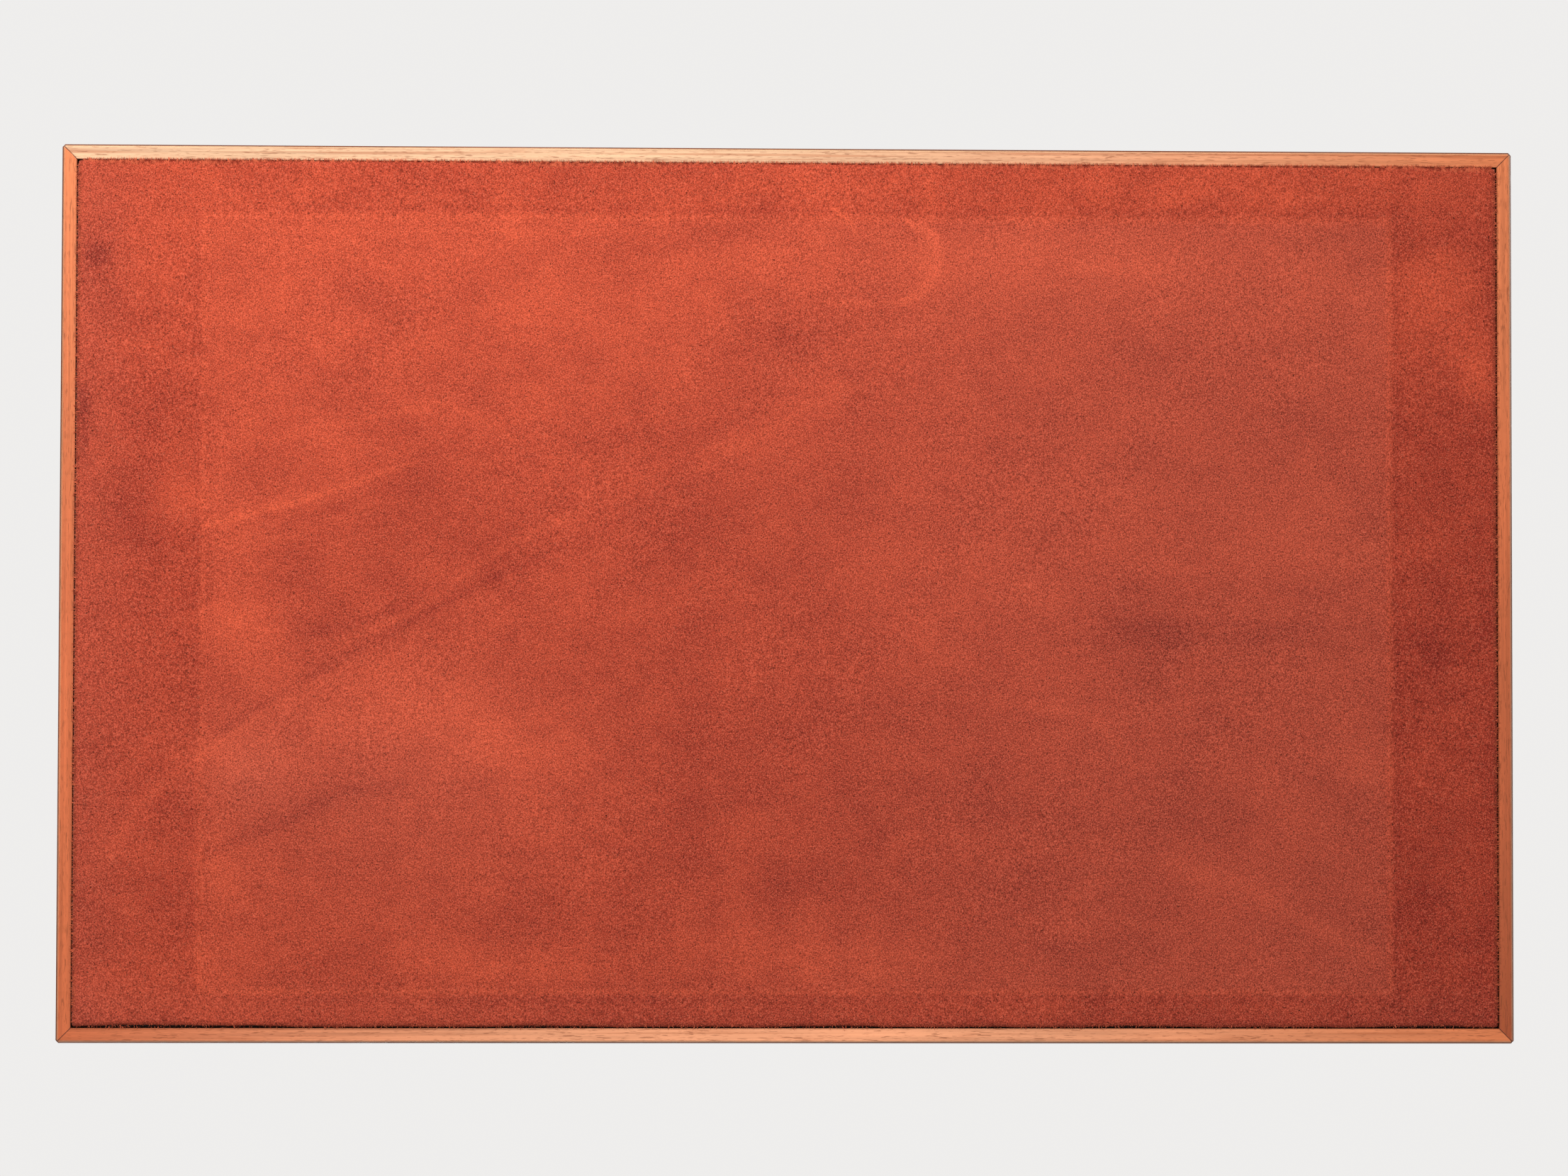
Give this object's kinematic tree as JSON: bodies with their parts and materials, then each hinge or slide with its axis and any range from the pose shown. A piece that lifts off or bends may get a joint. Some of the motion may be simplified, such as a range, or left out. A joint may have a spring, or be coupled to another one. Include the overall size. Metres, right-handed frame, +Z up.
{
  "type": "cigar humidor",
  "caption": "Mahogany cigar humidor with hinged cedar-lined lid, lift-out tray, drawers, link lock and a suede-covered base.",
  "frame": {"origin": "centre of the suede base, at the height of the surface that the humidor stands on", "axes": "+X along the width to the right as seen from the front, -Y out of the front with lock and drawers, +Z up to the lid"},
  "size_m": [0.42, 0.2586, 0.186],
  "materials": {
    "mahogany": "satin, open pores",
    "cedar": "raw sanded cedar",
    "birch": "raw sanded",
    "suede": "napped suede",
    "brass": "satin lacquered",
    "steel": "brushed",
    "dial": "matt printed",
    "needle": "matt black",
    "glass": "clear polished",
    "black_plastic": "fine moulded texture",
    "foam": "open-cell floral foam"
  },
  "bodies": {
    "case": {"base_board": "birch", "base_suede": "suede", "case_front": "mahogany", "case_back": "mahogany", "case_side_left": "mahogany", "case_side_right": "mahogany", "drawer_partition": "birch", "drawer_runners": "birch", "well_floor": "cedar", "lining_front": "cedar", "lining_back": "cedar", "lining_left": "cedar", "lining_right": "cedar", "tray_ledges": "cedar", "well_dividers": "cedar", "hinge_case_leaves": "brass", "hinge_pins": "brass", "case_screws": "brass", "lock_body": "brass", "lock_escutcheon": "brass"},
    "lid": {"lid_front": "mahogany", "lid_back": "mahogany", "lid_side_left": "mahogany", "lid_side_right": "mahogany", "lid_panel": "mahogany", "lid_ceiling": "cedar", "lid_lining_long": "cedar", "lid_lining_short": "cedar", "hinge_lid_leaves": "brass", "lid_screws": "brass", "lock_strike": "brass", "hygrometer_case": "brass", "hygrometer_bezel": "brass", "hygrometer_glass": "glass", "hygrometer_dial": "dial", "humidifier_plate": "steel"},
    "tray": {"tray_sides": "cedar", "tray_ends": "cedar", "tray_slats": "cedar", "tray_divider": "cedar"},
    "key_plug": {"lock_plug": "brass"},
    "bolt": {"lock_bolt": "steel"},
    "needle": {"hygrometer_needle": "needle"},
    "humidifier": {"humidifier_shell": "black_plastic", "humidifier_core": "foam", "humidifier_magnets": "steel"},
    "drawer_left": {"drawer_left_front": "mahogany", "drawer_left_sides": "birch", "drawer_left_back": "birch", "drawer_left_floor": "birch", "drawer_left_lining": "suede", "drawer_left_pull_cup": "brass"},
    "pull_left": {"drawer_left_pull_bail": "brass"},
    "drawer_right": {"drawer_right_front": "mahogany", "drawer_right_sides": "birch", "drawer_right_back": "birch", "drawer_right_floor": "birch", "drawer_right_lining": "suede", "drawer_right_pull_cup": "brass"},
    "pull_right": {"drawer_right_pull_bail": "brass"}
  },
  "joints": [
    {"name": "lid_hinge", "type": "hinge", "parent": "case", "child": "lid", "pos_m": [0, 0.1253, 0.13615], "axis": [-1, 0, 0], "range_deg": [0, 95]},
    {"name": "tray_lift", "type": "slide", "parent": "case", "child": "tray", "axis": [0, 0, 1], "range_m": [0, 0.033]},
    {"name": "plug_turn", "type": "hinge", "parent": "case", "child": "key_plug", "pos_m": [0, -0.125, 0.121], "axis": [0, 1, 0], "range_deg": [0, 90]},
    {"name": "bolt_slide", "type": "slide", "parent": "case", "child": "bolt", "axis": [1, 0, 0], "range_m": [0, 0.005]},
    {"name": "needle_turn", "type": "hinge", "parent": "lid", "child": "needle", "pos_m": [-0.062, 0, 0.177], "axis": [0, 0, 1], "range_deg": [-120, 120]},
    {"name": "humidifier_pull", "type": "slide", "parent": "lid", "child": "humidifier", "axis": [0, 0, -1], "range_m": [0, 0.04]},
    {"name": "drawer_left_slide", "type": "slide", "parent": "case", "child": "drawer_left", "axis": [0, -1, 0], "range_m": [0, 0.19]},
    {"name": "pull_left_swing", "type": "hinge", "parent": "drawer_left", "child": "pull_left", "pos_m": [-0.099, -0.1279, 0.038], "axis": [-1, 0, 0], "range_deg": [0, 90]},
    {"name": "drawer_right_slide", "type": "slide", "parent": "case", "child": "drawer_right", "axis": [0, -1, 0], "range_m": [0, 0.19]},
    {"name": "pull_right_swing", "type": "hinge", "parent": "drawer_right", "child": "pull_right", "pos_m": [0.099, -0.1279, 0.038], "axis": [-1, 0, 0], "range_deg": [0, 90]}
  ],
  "couplings": [
    {"joint": "plug_turn", "follows": "bolt_slide", "rad_per_m": 314.16}
  ]
}
